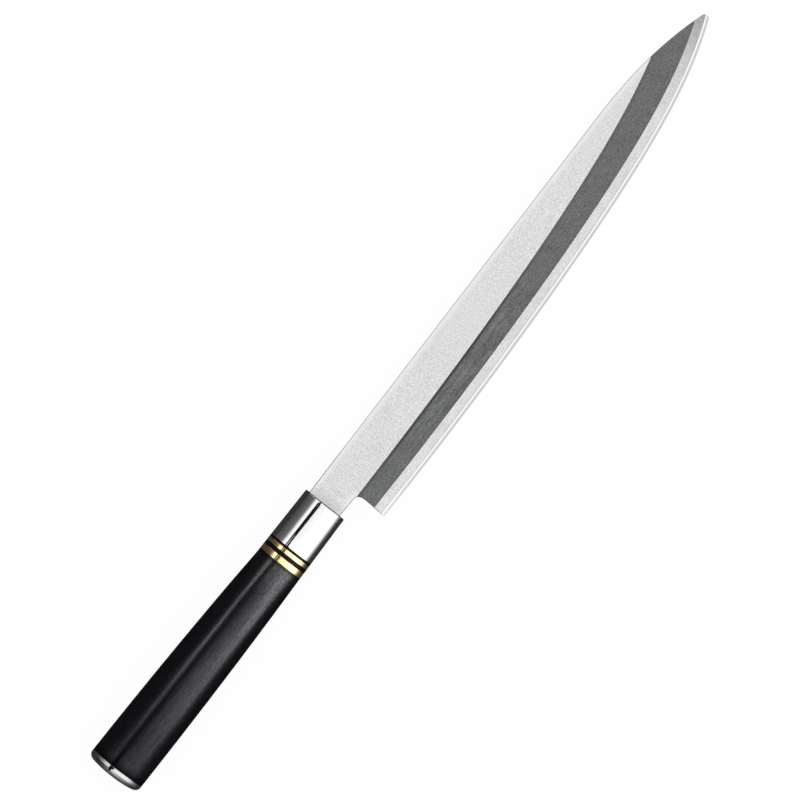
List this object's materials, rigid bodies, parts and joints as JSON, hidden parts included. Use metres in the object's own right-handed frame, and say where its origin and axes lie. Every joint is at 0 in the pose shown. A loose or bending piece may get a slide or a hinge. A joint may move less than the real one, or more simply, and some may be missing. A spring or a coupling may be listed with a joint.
{
  "type": "yanagiba knife",
  "caption": "Long single-bevel slicing knife with a hollow-ground back, a steel ferrule, brass rings with black spacers and a D-section wooden handle with a steel end cap.",
  "frame": {"origin": "middle of the knife's footprint, on the level that its handle lies on with the bevelled front face up", "axes": "+X from the butt of the handle to the tip, +Y from the cutting edge to the spine, +Z out of the bevelled front face"},
  "size_m": [0.4202, 0.0364, 0.0223],
  "materials": {
    "cladding_iron": "satin along the upper flat, stone-ground matte band on the bevel",
    "edge_steel": "fine satin, honed bright along the edge",
    "polished_steel": "mirror polished",
    "cap_steel": "polished",
    "ring_brass": "polished",
    "black_spacer": "polished black",
    "black_wood": "dense black wood, smooth and lightly oiled",
    "dowel_wood": "plain pale hardwood",
    "bedding_resin": "cured adhesive",
    "pin_steel": "as drawn"
  },
  "bodies": {
    "root": {"blade_cladding": "cladding_iron", "blade_edge_steel": "edge_steel", "ferrule": "polished_steel", "front_spacer": "black_spacer", "front_ring": "ring_brass", "middle_spacer": "black_spacer", "rear_ring": "ring_brass", "handle_grip": "black_wood", "core_dowel": "dowel_wood", "tang_bedding": "bedding_resin", "end_cap": "cap_steel", "cap_pins": "pin_steel"}
  },
  "joints": []
}
